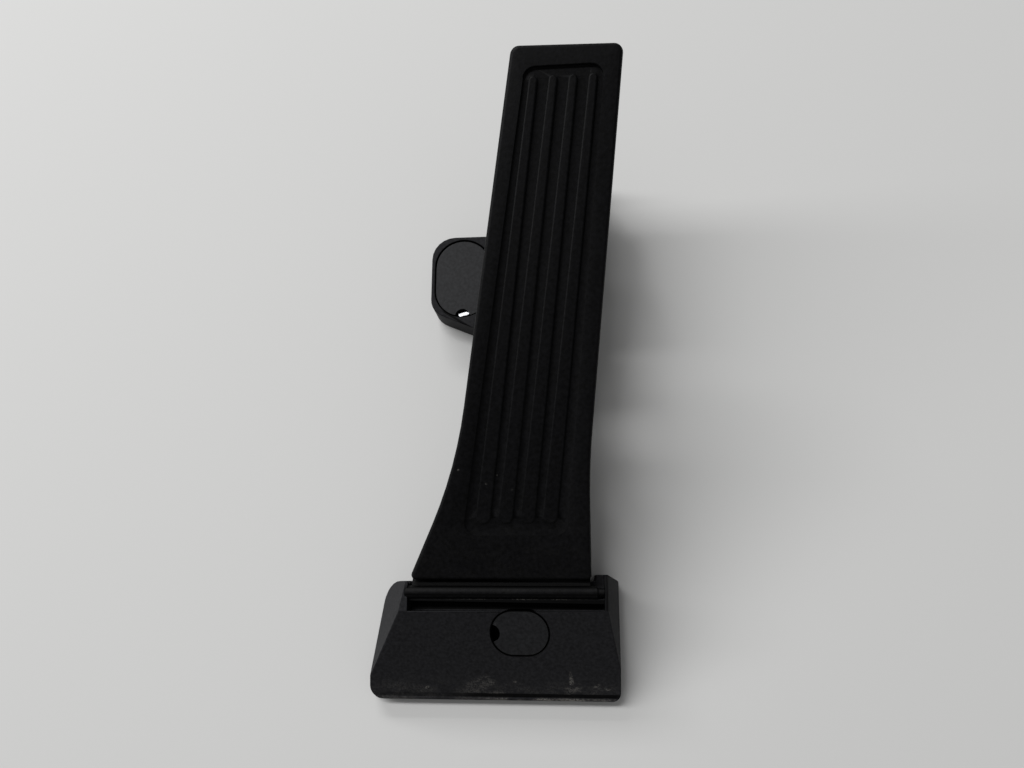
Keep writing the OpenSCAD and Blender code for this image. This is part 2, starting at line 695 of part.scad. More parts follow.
module pad_shell() {
    difference() {
        skin(pad_plan, [[0, -pad_depth], [0, -1.5], [0.2, -0.8], [0.7, -0.25], [1.5, 0]]);
        translate([0, 0, -pad_depth - 1]) linear_extrude(pad_depth + 1 - plate_t)
            outline(pad_plan, skirt_t);
        translate([0, recess_low_v, 0]) rotate([-recess_tilt, 0, 0])
            translate([0, -recess_low_v, -recess_low]) linear_extrude(5) outline(recess_plan);
    }
}
rib_depth = 9;
module pad_ribs() {
    intersection() {
        translate([0, 0, -pad_depth]) linear_extrude(pad_depth - plate_t + 0.5)
            outline(pad_plan, skirt_t / 2);
        union() {
            for (v = [16 : 20 : pad_len - 10]) block([-60, v - 0.9, -rib_depth], [60, v + 0.9, 0]);
            for (s = [-1, 1]) translate([mid_x + 9 * s - 6, 0, 0]) rotate([0, 0, -5])
                block([-0.9, -10, -rib_depth], [0.9, pad_len + 10, 0]);
            block([-34, 0, -rib_depth], [-32.2, 30, 0]);
        }
    }
}
module pedal_pad() {
    color(black) {
        on_pad() {
            pad_shell();
            for (k = [0 : tread_count - 1]) tread_rib(k);
            pad_ribs();
            difference() {
                block([mid_x - slide_half - slide_wall, slide_front, -slide_depth + slide_t],
                      [mid_x + slide_half + slide_wall, slide_rear, -plate_t + 0.5]);
                for (s = [-1, 1])
                    block([mid_x + s * 3.6 - 2.7, slide_front + slide_wall, -slide_depth - 1],
                          [mid_x + s * 3.6 + 2.7, slide_rear - slide_wall, -plate_t - 1.5]);
            }
            link([bead_v, -bead_w], strap_t / 2, [skirt_t / 2, -strap_drop], strap_t / 2,
                 pad_low_left + 1, pad_low_right - 0.6);
        }
        translate([0, hinge_y, hinge_z]) {
            rod_x(bead_r, bead_left, bead_right);
            rod_x(journal_r, bead_right - 1, journal_right);
        }
    }
}
// Low-friction face on which the lever's nose runs
module slide_plate() {
    color(white) on_pad() {
        block([mid_x - slide_half, slide_front + 0.5, -slide_depth],
              [mid_x + slide_half, slide_rear - 0.5, -slide_depth + slide_t]);
    }
}
// A straight arm between two round ends, seen along X
module link(p, rp, q, rq, x0, x1) {
    d = unit([q[0] - p[0], q[1] - p[1]]);
    n = left_of(d);
    along_x(x0, x1) polygon([p + n * rp, p - n * rp, q - n * rq, q + n * rq]);
    translate([0, p[0], p[1]]) rod_x(rp, x0, x1);
    translate([0, q[0], q[1]]) rod_x(rq, x0, x1);
}
module lever() {
    nose = [lever_y - arm_len * cos(arm_up), lever_z + arm_len * sin(arm_up)];
    hub = [lever_y, lever_z];
    color(dark) difference() {
        union() {
            translate([0, lever_y, lever_z]) rod_x(hub_r, chamber_left + 1, chamber_left + chamber_w - 1);
            link(hub, arm_root_r, nose, arm_tip_r, mid_x - arm_half, mid_x + arm_half);
            translate([0, nose[0], nose[1]]) rod_x(nose_r, mid_x - 4.5, mid_x + 4.5);
            link(hub, paddle_root_r, [paddle_y, paddle_z], paddle_neck_r, mid_x - arm_half, mid_x + arm_half);
            translate([0, paddle_y, paddle_z]) rod_x(paddle_r, mid_x - arm_half, mid_x + arm_half);
        }
        translate([0, lever_y, lever_z]) rod_x(shaft_r, -20, 60);
    }
}
module lever_shaft() {
    color(steel) translate([0, lever_y, lever_z]) rod_x(shaft_r, chamber_left - 2.2, sensor_x + 2.6);
}
module sensor_rotor() {
    color(rubber) translate([0, lever_y, lever_z]) difference() {
        union() {
            rod_x(shaft_r + 1.6, sensor_x + 0.4, sensor_x + 1.4);
            rod_x(4.4, sensor_x + 1.4, sensor_x + 3.2);
        }
        rod_x(shaft_r, sensor_x - 1, sensor_x + 2.6);
    }
}

housing();
front_bolt_cap();
ear_bolt_cap();
front_bolt_sleeve();
ear_bolt_sleeve();
mechanism_cover();
side_cover();
cover_seal();
cover_screws();
circuit_board();
board_screws();
sensor_chips();
connector_pins();
shaft_bushes();
outer_spring();
inner_spring();
spring_seat();
friction_piston();
idle_buffer();
full_travel_buffer();
pedal_pad();
slide_plate();
lever();
lever_shaft();
sensor_rotor();
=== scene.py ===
# %% [markdown]
# An accelerator pedal module in black moulded plastic: a long ribbed pad, the wedge-shaped foot that
# it is hinged on, an ear with an oval bolt cap, and a sprung sensor lever underneath. Its solids come
# from a CAD model at their real size. This script gives them their fine edges and their finishes.

# %% Load the solids
import json
import math

import bmesh
import bpy
from mathutils import Matrix, Vector


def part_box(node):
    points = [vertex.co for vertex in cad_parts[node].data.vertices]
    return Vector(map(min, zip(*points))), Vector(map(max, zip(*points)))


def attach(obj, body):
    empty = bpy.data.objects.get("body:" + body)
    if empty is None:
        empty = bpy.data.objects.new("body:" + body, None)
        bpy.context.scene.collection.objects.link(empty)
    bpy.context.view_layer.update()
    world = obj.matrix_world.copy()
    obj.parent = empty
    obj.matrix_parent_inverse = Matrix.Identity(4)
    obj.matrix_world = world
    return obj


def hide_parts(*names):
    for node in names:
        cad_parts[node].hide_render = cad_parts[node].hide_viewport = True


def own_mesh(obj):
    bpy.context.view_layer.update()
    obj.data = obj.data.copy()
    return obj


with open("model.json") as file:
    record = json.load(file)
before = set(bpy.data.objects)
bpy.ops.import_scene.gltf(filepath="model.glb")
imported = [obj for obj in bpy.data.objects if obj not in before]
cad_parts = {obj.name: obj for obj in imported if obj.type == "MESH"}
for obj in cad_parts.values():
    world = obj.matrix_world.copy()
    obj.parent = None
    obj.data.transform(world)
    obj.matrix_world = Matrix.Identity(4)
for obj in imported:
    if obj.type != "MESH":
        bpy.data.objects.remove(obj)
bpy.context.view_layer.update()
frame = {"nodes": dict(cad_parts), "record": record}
mm = 0.001


# %% [markdown]
# The camera stands where the photograph was taken from. Two directions that were measured there fix
# how it is turned: the pixel straight below the lens, and the way the foot's long edges run across the
# picture. With the axes of the object known in the camera's own axes, its matrix is their transpose.

# %% Camera
picture = (1024, 768)
focal_px = 769  # focal length in pixels, that of a 26 mm equivalent phone lens
sensor = 36  # mm
across = Vector((0.9962, -0.0195, -0.085)).normalized()
below_px = (581, 576)
nearest = 0.01  # metres, where the picture begins
stand = Vector((25.8, 23.1, 355.0)) * mm

up = -Vector(((below_px[0] - picture[0] / 2) / focal_px, (below_px[1] - picture[1] / 2) / focal_px, 1))
up = (up - across * up.dot(across)).normalized()
away = up.cross(across)
turned = Matrix((across, away, up)).transposed()
flip = Matrix(((1, 0, 0), (0, -1, 0), (0, 0, -1)))
camera = bpy.data.objects.new("camera", bpy.data.cameras.new("camera"))
camera.data.lens = sensor * focal_px / picture[0]
camera.data.sensor_width = sensor
camera.data.clip_start = nearest
camera.matrix_world = Matrix.Translation(stand) @ (turned.transposed() @ flip).to_4x4()
bpy.context.collection.objects.link(camera)
scene = bpy.context.scene
scene.camera = camera
scene.view_settings.view_transform = "Standard"
print("camera", round(math.degrees(math.asin((turned.transposed() @ Vector((0, 0, -1))).z)), 1), "degrees")


# %% [markdown]
# Materials are node trees. A short helper adds a node, sets its inputs and links any input that is
# another node's output, so that each tree reads like a recipe. A colour Mix node keeps its share in
# input 0, its two colours in inputs 6 and 7 and its result in output 2, so one function hides that.

# %% Node helper
def node(tree, kind, inputs=None, **settings):
    made = tree.nodes.new(kind)
    for key, value in settings.items():
        setattr(made, key, value)
    for key, value in (inputs or {}).items():
        if isinstance(value, bpy.types.NodeSocket):
            tree.links.new(value, made.inputs[key])
        else:
            made.inputs[key].default_value = value
    return made


def mixed(tree, share, first, second):
    blend = node(tree, "ShaderNodeMix", {0: share, 6: first, 7: second}, data_type="RGBA")
    return blend.outputs[2]


def blank_material(name):
    material = bpy.data.materials.new(name)
    material.use_nodes = True
    tree = material.node_tree
    surface = tree.nodes["Principled BSDF"]
    place = node(tree, "ShaderNodeTexCoord").outputs["Object"]
    return material, tree, surface, place


def blank_group(name, inputs, outputs):
    group = bpy.data.node_groups.new(name, "ShaderNodeTree")
    for label, kind in inputs:
        group.interface.new_socket(name=label, in_out="INPUT", socket_type=kind)
    for label, kind in outputs:
        group.interface.new_socket(name=label, in_out="OUTPUT", socket_type=kind)
    return group, group.nodes.new("NodeGroupInput"), group.nodes.new("NodeGroupOutput")


# %% [markdown]
# The board under the pedal is plain and pale. The light is a long soft strip high up on the left and
# beyond the pad, as a row of roof windows gives, so shadows fall to the right, wide across the picture
# and crisp along it. A low window far behind the pad adds the short shadow in front of the foot, and a
# pale world fills both.

# %% Floor and light
board_half = 3.0  # metres
strip_height = 2.4
strip_lean = 0.45  # metres beyond the pad's middle for each metre of height
strip_place = Vector((-2.0, 0.13 + strip_lean * strip_height, strip_height))
strip_size, strip_power = (4.1, 0.50), 88  # metres and watts
far_place = Vector((-1.2, 2.75, 1.6))
far_size, far_power = (1.8, 0.4), 42
pad_middle = Vector((0, 0.12, 0))
room_light = 0.20

floor_mesh = bmesh.new()
bmesh.ops.create_grid(floor_mesh, x_segments=1, y_segments=1, size=board_half)
floor_data = bpy.data.meshes.new("floor")
floor_mesh.to_mesh(floor_data)
floor_mesh.free()
floor = bpy.data.objects.new("floor", floor_data)
bpy.context.collection.objects.link(floor)
floor_paint = blank_material("pale_board")[0]
floor_surface = floor_paint.node_tree.nodes["Principled BSDF"]
floor_surface.inputs["Base Color"].default_value = (0.70, 0.70, 0.692, 1)
floor_surface.inputs["Roughness"].default_value = 0.75
floor_surface.inputs["Specular IOR Level"].default_value = 0.2
floor_data.materials.append(floor_paint)


def window(name, place, size, energy):
    lamp = bpy.data.objects.new(name, bpy.data.lights.new(name, "AREA"))
    lamp.data.shape = "RECTANGLE"
    lamp.data.size, lamp.data.size_y = size
    lamp.data.energy = energy
    aim = (pad_middle - place).normalized()
    side = aim.cross(Vector((1, 0, 0))).normalized()
    turned_to = Matrix((side.cross(aim).normalized(), side, -aim)).transposed()
    lamp.matrix_world = Matrix.Translation(place) @ turned_to.to_4x4()
    bpy.context.collection.objects.link(lamp)
    return lamp


strip_lamp = window("roof_window", strip_place, strip_size, strip_power)
far_lamp = window("far_window", far_place, far_size, far_power)

world = bpy.data.worlds.new("room")
scene.world = world
world.use_nodes = True
world.node_tree.nodes["Background"].inputs["Color"].default_value = (1.0, 1.0, 1.0, 1)
world.node_tree.nodes["Background"].inputs["Strength"].default_value = room_light
print("windows", strip_lamp.data.energy, far_lamp.data.energy, "W")


# %% [markdown]
# A CAD solid has knife edges, and moulded plastic never does: each edge carries a small radius that
# catches the light. So a copy of a solid is welded, its flat faces are merged, and the edges that have
# room round them are bevelled. Weighted normals keep the flats flat beside the rounded edges.
#
# The pad's end faces are concave, and the solid fills them with fans of triangles that reach outside
# the outline and cancel out. Where the flat faces of one level point both ways, the copy drops them and
# fills their rim again.

# %% Rounded copies of the solids
merge_reach = 0.003 * mm
level_reach = 0.02 * mm
one_way = 0.999  # share of a level's area that points the same way when its faces are sound
flat_angle = math.radians(0.3)
fold_angle = math.radians(5)
runs_on_below = -0.8  # cosine between an edge and the next one of the same line
room_needed = 2.4  # bevel widths


def has_room(edge, chosen, width):
    for end in edge.verts:
        along = (edge.other_vert(end).co - end.co).normalized()
        for other in end.link_edges:
            if other is edge:
                continue
            way = (other.other_vert(end).co - end.co).normalized()
            runs_on = other in chosen and along.dot(way) < runs_on_below
            folded = other.is_manifold and other.calc_face_angle(0) > fold_angle
            if folded and not runs_on and other.calc_length() < room_needed * width:
                return False
    return True


def bent(face):
    return any(not corner.is_convex for corner in face.loops)


def refill_ends(shape, up):
    for level in sorted({round(v.co.dot(up) / mm, 2) for v in shape.verts}):
        flat = [f for f in shape.faces
                if all(abs(v.co.dot(up) - level * mm) < level_reach for v in f.verts)]
        area = sum(f.calc_area() * (1 if f.normal.dot(up) > 0 else -1) for f in flat)
        if abs(area) > one_way * sum(f.calc_area() for f in flat):
            continue
        bmesh.ops.delete(shape, geom=flat, context="FACES")
        rim = [e for e in shape.edges if e.is_boundary]
        filled = bmesh.ops.triangle_fill(shape, use_beauty=True, edges=rim, normal=up)["geom"]
        filled = [f for f in filled if isinstance(f, bmesh.types.BMFace)]
        if area < 0:
            bmesh.ops.reverse_faces(shape, faces=filled)
        print("   end filled again, mm2:", round(sum(f.calc_area() for f in filled) / mm ** 2), "of",
              round(abs(area) / mm ** 2))


def welded_copy(name):
    shape = bmesh.new()
    shape.from_mesh(frame["nodes"][name].data)
    bmesh.ops.remove_doubles(shape, verts=shape.verts, dist=merge_reach)
    return shape


def rounded_copy(name, width, segments=3, sharp=30, lofted=None):
    shape = welded_copy(name)
    if lofted:
        refill_ends(shape, lofted)
    bmesh.ops.dissolve_limit(shape, angle_limit=flat_angle, verts=shape.verts, edges=shape.edges)
    bmesh.ops.triangulate(shape, faces=[f for f in shape.faces if len(f.verts) > 4 and bent(f)])
    volume = shape.calc_volume()
    chosen = {e for e in shape.edges if e.is_manifold and e.calc_face_angle(0) > math.radians(sharp)}
    while True:
        kept = {e for e in chosen if has_room(e, chosen, width)}
        if len(kept) == len(chosen):
            break
        chosen = kept
    print(name, "edges rounded:", len(chosen), "of", len(shape.edges))
    if chosen:
        bmesh.ops.bevel(shape, geom=list(chosen), offset=width, offset_type="OFFSET", segments=segments,
                        profile=0.5, affect="EDGES", clamp_overlap=False, material=-1)
    print("   volume kept:", round(shape.calc_volume() / volume, 4))
    return finished(shape, name + "_moulded")


def finished(shape, name, smooth=35):
    mesh = bpy.data.meshes.new(name)
    shape.to_mesh(mesh)
    shape.free()
    piece = bpy.data.objects.new(name, mesh)
    bpy.context.collection.objects.link(piece)
    mesh.shade_smooth()
    mesh.set_sharp_from_angle(angle=math.radians(smooth))
    weighted = piece.modifiers.new("weighted", "WEIGHTED_NORMAL")
    weighted.keep_sharp = True
    return piece


# %% [markdown]
# Every moulded face shows the fine spark-eroded grain of its tool. One shader group makes it: a small
# cell pattern broken up by noise gives the bump, and a broader noise drives a faint change of tone.

# %% Grain group
coarse_share = 0.35  # the tone's pattern is that much coarser than the bump's


def make_grain():
    group, given, made = blank_group(
        "moulded_grain", [("Place", "NodeSocketVector"), ("Scale", "NodeSocketFloat")],
        [("Height", "NodeSocketFloat"), ("Tone", "NodeSocketFloat")])
    place, scale = given.outputs["Place"], given.outputs["Scale"]
    cells = node(group, "ShaderNodeTexVoronoi", {"Vector": place, "Scale": scale}, feature="SMOOTH_F1")
    fine = node(group, "ShaderNodeTexNoise", {"Vector": place, "Scale": scale, "Detail": 3.0})
    coarse = node(group, "ShaderNodeMath", {0: scale, 1: coarse_share}, operation="MULTIPLY")
    broad = node(group, "ShaderNodeTexNoise", {"Vector": place, "Scale": coarse.outputs[0], "Detail": 4.0})
    height = node(group, "ShaderNodeMath", {0: cells.outputs["Distance"], 1: fine.outputs["Fac"]},
                  operation="ADD")
    tone = node(group, "ShaderNodeMapRange", {"Value": broad.outputs["Fac"], "From Min": 0.3,
                                              "From Max": 0.7, "To Min": 0.0, "To Max": 1.0})
    group.links.new(height.outputs[0], made.inputs["Height"])
    group.links.new(tone.outputs[0], made.inputs["Tone"])
    return group


grain = make_grain()
print("grain nodes:", len(grain.nodes))


# %% [markdown]
# Dust lies where it is not wiped off. The group takes a mask of where it may lie and breaks it up twice:
# a broad noise, stretched across the foot, makes smears, and a fine noise makes the grit within them.

# %% Dust group
def make_dust():
    group, given, made = blank_group(
        "dust", [("Place", "NodeSocketVector"), ("Where", "NodeSocketFloat"), ("Amount", "NodeSocketFloat")],
        [("Mask", "NodeSocketFloat")])
    stretched = node(group, "ShaderNodeMapping", {"Vector": given.outputs["Place"],
                                                  "Scale": (1.0, 2.2, 2.2)})
    smear = node(group, "ShaderNodeTexNoise", {"Vector": stretched.outputs[0], "Scale": 90.0,
                                               "Detail": 6.0, "Roughness": 0.65})
    speck = node(group, "ShaderNodeTexNoise", {"Vector": given.outputs["Place"], "Scale": 1500.0,
                                               "Detail": 2.0})
    soft = node(group, "ShaderNodeMapRange", {"Value": smear.outputs["Fac"], "From Min": 0.42,
                                              "From Max": 0.68})
    grit = node(group, "ShaderNodeMapRange", {"Value": speck.outputs["Fac"], "From Min": 0.35,
                                              "From Max": 0.75})
    both = node(group, "ShaderNodeMath", {0: soft.outputs[0], 1: grit.outputs[0]}, operation="MULTIPLY")
    there = node(group, "ShaderNodeMath", {0: both.outputs[0], 1: given.outputs["Where"]},
                 operation="MULTIPLY")
    much = node(group, "ShaderNodeMath", {0: there.outputs[0], 1: given.outputs["Amount"]},
                operation="MULTIPLY", use_clamp=True)
    group.links.new(much.outputs[0], made.inputs["Mask"])
    return group


dust = make_dust()
print("dust nodes:", len(dust.nodes))


# %% [markdown]
# Masks say where something lies. Each is built from soft steps along an axis: a step runs from 0 to 1
# between two places, a span is a step up and a step down, and masks are multiplied to meet or compared
# to join. A spot is a step along the distance from its centre, measured in its own half sizes.

# %% Masks
def band(tree, value, low, high):
    ramp = node(tree, "ShaderNodeMapRange", {"Value": value, "From Min": low, "From Max": high},
                interpolation_type="SMOOTHSTEP")
    return ramp.outputs[0]


def step(tree, value, low, high):
    return band(tree, value, low * mm, high * mm)


def product(tree, *values):
    result = values[0]
    for value in values[1:]:
        result = node(tree, "ShaderNodeMath", {0: result, 1: value}, operation="MULTIPLY").outputs[0]
    return result


def largest(tree, *values):
    result = values[0]
    for value in values[1:]:
        result = node(tree, "ShaderNodeMath", {0: result, 1: value}, operation="MAXIMUM").outputs[0]
    return result


def span(tree, value, low, high, soft):
    return product(tree, step(tree, value, low - soft, low), step(tree, value, high + soft, high))


def steps(tree, axes, limits):
    return product(tree, *[step(tree, axes[axis], low, high) for axis, low, high in limits])


def spans(tree, axes, limits):
    return product(tree, *[span(tree, axes[axis], low, high, soft) for axis, low, high, soft in limits])


def own_place(tree, place, centre, turn, size=None):
    inputs = {"Vector": place, "Location": [c * mm for c in centre], "Rotation": (0, 0, math.radians(turn))}
    if size:
        inputs["Scale"] = [r * mm for r in size]
    return node(tree, "ShaderNodeMapping", inputs, vector_type="TEXTURE").outputs[0]


def spot(tree, place, centre, size, turn=0.0, core=0.3):
    own = own_place(tree, place, centre, turn, size)
    far = node(tree, "ShaderNodeVectorMath", {0: own}, operation="LENGTH")
    return band(tree, far.outputs["Value"], 1.0, core)


# %% [markdown]
# Dust and wear lie where the real pedal has them. The foot has a thin film low on its slope, a pale line
# along its front edge, a dusty line before the hinge bead, and smears and scuffs. The pad has four specks.

# %% Where the dust lies
slope_film = [("Z", 14, 4), ("Y", -12, -27)]
# A pale line in the dust colour along the foot's front edge.
front_line = [("Y", -27.2, -27.8), ("X", -40, 5)]
sill_line = [("Z", 25.2, 26.2), ("Y", 13.2, 13.7), ("Y", 15.4, 14.4), ("X", -40, -10), ("X", 38, 10)]
slope_share, front_share, sill_share = 0.16, 0.7, 0.9

# Each mark: its centre and half sizes in mm, its turn in degrees and its strength.
foot_marks = [((-18.1, -22.0, 9.0), (11.0, 5.0, 9), 25, 0.3), ((21.5, -24.0, 7.8), (6.0, 4.0, 9), 30, 0.6),
              ((20.8, -20.5, 10.0), (6.0, 1.3, 9), 96, 0.9), ((-8.0, -25.0, 6.0), (12, 2.0, 9), 8, 0.3),
              ((43.0, 5.0, 22.0), (3.5, 12.0, 12), 0, 0.16), ((39.0, 13.0, 27.0), (1.4, 6.5, 5), 12, 0.55),
              ((31.5, -21.7, 9.0), (2.2, 0.9, 9), 20, 0.5), ((36.0, -23.3, 8.0), (1.6, 0.8, 9), 0, 0.5),
              ((-53.2, -18.5, 11.0), (1.2, 0.8, 9), 0, 0.6), ((-41.0, -23.2, 8.1), (1.6, 0.8, 9), 30, 0.5),
              ((-3.0, -20.4, 9.8), (1.2, 0.7, 9), 0, 0.4), ((23.0, 11.6, 26.5), (2.4, 0.7, 3), 0, 0.7)]

pad_specks = [(-23.8, 65.3, 43.0), (-12.4, 59.7, 41.2), (-1.8, 57.2, 40.5), (-7.8, 63.2, 42.3)]
speck_size = (0.6, 0.6, 2.0)
pad_film = [("Y", 70, 26)]
film_share = 0.02


def foot_dust(tree, axes, place):
    slope = product(tree, steps(tree, axes, slope_film), slope_share)
    front = product(tree, steps(tree, axes, front_line), front_share)
    sill = product(tree, steps(tree, axes, sill_line), sill_share)
    marks = [product(tree, spot(tree, place, centre, size, turn), strength)
             for centre, size, turn, strength in foot_marks]
    return largest(tree, slope, front, sill, *marks)


def pad_dust(tree, axes, place):
    film = product(tree, steps(tree, axes, pad_film), film_share)
    return largest(tree, film, *[spot(tree, place, centre, speck_size) for centre in pad_specks])


print("marks on the foot:", len(foot_marks), "specks on the pad:", len(pad_specks))


# %% [markdown]
# The shadows in the gaps are wider than the solids' clearances cast, so a mask paints shade into the plastic
# there: round both caps, in the groove beside the ear's cap, on the floor of the hinge channel, on the lug's
# inner edge, along the foot's front edge, on the pad's strap above its bead and in a line along the bead. An
# oval ring of painted shade lies at one distance from a short straight run.

# %% Where shade is painted
# Painted shade: rings round the front cap and the ear's cap.
front_cap_shade_ring = {"centre": (0, 0, 0), "radius": 9.25, "half_run": 2.9, "turn": 0}
ear_cap_shade_ring = {"centre": (-27.6, 160.8, 0), "radius": 13.2, "half_run": 6.0, "turn": 90}
shade_ring_inner, shade_ring_outer, shade_ring_soft = 0.25, 0.3, 0.3
above_sleeves = [("Z", 8.5, 9.5)]

# Painted shade in the groove beside the ear's cap, a groove that the solid lacks.
groove_centre, groove_turn = (-30.3, 140.2, 0), -33
groove = [("X", -7, 7, 1.5), ("Y", -0.45, 0.45, 0.2)]
on_ear_top = [("Z", 14.2, 14.8)]

# Painted shade on the floor of the hinge channel.
channel = [("X", -46.4, 35, 0.2), ("Y", 9.6, 13.4, 0.3)]
in_channel = [("Z", 27.4, 26.8)]

# Painted shade along the foot's front edge, stronger towards the right.
front_edge = [("Y", -26.9, -25.7, 0.35), ("X", -62, 39, 6)]
towards_right = [("X", -45, -15)]
left_share, right_share = 0.35, 0.95

# Painted shade on the lug's inner edge.
lug_edge = [("X", 34.6, 36.6, 0.9), ("Y", 9.6, 24, 0.8)]
on_lug_top = [("Z", 26, 27.5)]
lug_share = 0.85

# Painted shade on the pad's strap above its bead and in a line along the bead.
strap = [("Y", 18.0, 21.2, 0.3)]
bead_line = [("Y", 15.3, 15.8, 0.25)]


# A ring of painted shade at one distance from a short straight run.
def oval_painted_shade(tree, place, centre, radius, half_run, turn):
    own = own_place(tree, place, centre, turn)
    flat = node(tree, "ShaderNodeSeparateXYZ", {"Vector": own}).outputs
    along = node(tree, "ShaderNodeMath", {0: flat["X"]}, operation="ABSOLUTE").outputs[0]
    past = node(tree, "ShaderNodeMath", {0: along, 1: half_run * mm}, operation="SUBTRACT").outputs[0]
    off = node(tree, "ShaderNodeCombineXYZ", {"X": largest(tree, past, 0.0), "Y": flat["Y"]}).outputs[0]
    far = node(tree, "ShaderNodeVectorMath", {0: off}, operation="LENGTH").outputs["Value"]
    return span(tree, far, radius - shade_ring_inner, radius + shade_ring_outer, shade_ring_soft)


def cap_painted_shade(tree, axes, place):
    ovals = largest(tree, oval_painted_shade(tree, place, **front_cap_shade_ring), oval_painted_shade(tree, place, **ear_cap_shade_ring))
    return product(tree, ovals, steps(tree, axes, above_sleeves))


# Painted shade on the housing: the cap rings, the ear's groove, the hinge channel, the lug's edge and the
# front edge.
def housing_painted_shade(tree, axes, place):
    own = own_place(tree, place, groove_centre, groove_turn)
    slant = node(tree, "ShaderNodeSeparateXYZ", {"Vector": own}).outputs
    ear = product(tree, spans(tree, slant, groove), steps(tree, axes, on_ear_top))
    hinge = product(tree, spans(tree, axes, channel), steps(tree, axes, in_channel))
    lug = product(tree, spans(tree, axes, lug_edge), steps(tree, axes, on_lug_top), lug_share)
    edge = spans(tree, axes, front_edge)
    left = product(tree, edge, left_share)
    right = product(tree, edge, steps(tree, axes, towards_right), right_share)
    return largest(tree, cap_painted_shade(tree, axes, place), ear, hinge, lug, left, right)


# Painted shade on the pad's strap and along its bead.
def strap_shade(tree, axes, place):
    return largest(tree, spans(tree, axes, strap), spans(tree, axes, bead_line))


print("dark rings round the caps, mm wide:", shade_ring_inner + shade_ring_outer)


# %% [markdown]
# One function makes every moulding: its own colour, gloss, grain size and depth, a mask for the dust
# and one for painted shade in gaps and recesses. The dust colour is mixed over the plastic, and dusty
# spots are rougher. Colours are linear, and grain sizes and depths are in mm.

# %% Moulded plastic
dust_colour = (0.30, 0.285, 0.26, 1)
dust_rough = 0.9
# Near black colour of the painted shade.
painted_shade_colour = (0.0008, 0.0008, 0.0009, 1)
relief_strength = 0.5


def moulded(name, colour, rough, grain_size, grain_depth, where=None, amount=0.0, contrast=0.35,
            painted_shade=None, shine=0.14):
    material, tree, surface, place = blank_material(name)
    bumps = node(tree, "ShaderNodeGroup", {"Place": place, "Scale": 1 / (grain_size * mm)}, node_tree=grain)
    dirt = node(tree, "ShaderNodeGroup", {"Place": place, "Amount": amount}, node_tree=dust)
    axes = node(tree, "ShaderNodeSeparateXYZ", {"Vector": place}).outputs
    if where:
        tree.links.new(where(tree, axes, place), dirt.inputs["Where"])
    dark = tuple(c * (1 - contrast) for c in colour) + (1,)
    pale = tuple(c * (1 + contrast) for c in colour) + (1,)
    shown = mixed(tree, bumps.outputs["Tone"], dark, pale)
    shown = mixed(tree, dirt.outputs["Mask"], shown, dust_colour)
    # Painted shade: a near black is mixed over the plastic in the gaps and recesses.
    if painted_shade:
        shown = mixed(tree, painted_shade(tree, axes, place), shown, painted_shade_colour)
    tree.links.new(shown, surface.inputs["Base Color"])
    dull = node(tree, "ShaderNodeMapRange", {"Value": dirt.outputs["Mask"], "To Min": rough,
                                             "To Max": dust_rough})
    tree.links.new(dull.outputs[0], surface.inputs["Roughness"])
    relief = node(tree, "ShaderNodeBump", {"Height": bumps.outputs["Height"], "Strength": relief_strength,
                                           "Distance": grain_depth * mm})
    tree.links.new(relief.outputs[0], surface.inputs["Normal"])
    surface.inputs["Specular IOR Level"].default_value = shine
    return material


finishes = {
    "black_plastic": moulded(
        "foot_plastic", (0.0162, 0.0162, 0.0178), rough=0.6, grain_size=0.45, grain_depth=0.03,
        where=foot_dust, amount=1.6, painted_shade=housing_painted_shade, shine=0.07),
    "pad_plastic": moulded(
        "pad_plastic", (0.0028, 0.0028, 0.0032), rough=0.5, grain_size=0.55, grain_depth=0.05,
        where=pad_dust, amount=0.8, contrast=0.6, painted_shade=strap_shade, shine=0.085),
    "cap_plastic": moulded("cap_plastic", (0.0170, 0.0173, 0.0188), 0.48, 0.5, 0.04, painted_shade=cap_painted_shade),
    "cover_plastic": moulded("cover_plastic", (0.011, 0.011, 0.0115), 0.42, 0.4, 0.02),
    "lever_plastic": moulded("lever_plastic", (0.014, 0.014, 0.015), 0.5, 0.6, 0.03),
    "chip_plastic": moulded("chip_plastic", (0.010, 0.010, 0.0105), 0.45, 0.3, 0.01),
    "slide_plastic": moulded("slide_plastic", (0.66, 0.65, 0.60), 0.35, 0.5, 0.01, contrast=0.04),
    "seal_rubber": moulded("seal_rubber", (0.012, 0.012, 0.012), 0.7, 0.35, 0.03),
}
print("mouldings:", sorted(finishes))


# %% [markdown]
# The metals differ by how they were worked. Zinc plate is cloudy and bluish, drawn wire and ground
# pins carry fine lines along their length, and the pins are tinned brass. A brushed look is noise
# stretched far along one axis, used for roughness and a shallow bump.

# %% Metals and board
cloud_dark = 0.8
gloss_spread = (-0.1, 0.15)
line_strength, line_depth = 0.4, 0.004 * mm


def metal(name, colour, rough, stretch):
    material, tree, surface, place = blank_material(name)
    pulled = node(tree, "ShaderNodeMapping", {"Vector": place, "Scale": stretch})
    lines = node(tree, "ShaderNodeTexNoise", {"Vector": pulled.outputs[0], "Scale": 900.0, "Detail": 4.0})
    cloud = node(tree, "ShaderNodeTexNoise", {"Vector": place, "Scale": 160.0, "Detail": 3.0})
    dark = tuple(c * cloud_dark for c in colour) + (1,)
    tree.links.new(mixed(tree, cloud.outputs["Fac"], dark, colour + (1,)), surface.inputs["Base Color"])
    surface.inputs["Metallic"].default_value = 1.0
    gloss = node(tree, "ShaderNodeMapRange", {"Value": lines.outputs["Fac"],
                                              "To Min": rough + gloss_spread[0],
                                              "To Max": rough + gloss_spread[1]})
    tree.links.new(gloss.outputs[0], surface.inputs["Roughness"])
    relief = node(tree, "ShaderNodeBump", {"Height": lines.outputs["Fac"], "Strength": line_strength,
                                           "Distance": line_depth})
    tree.links.new(relief.outputs[0], surface.inputs["Normal"])
    return material


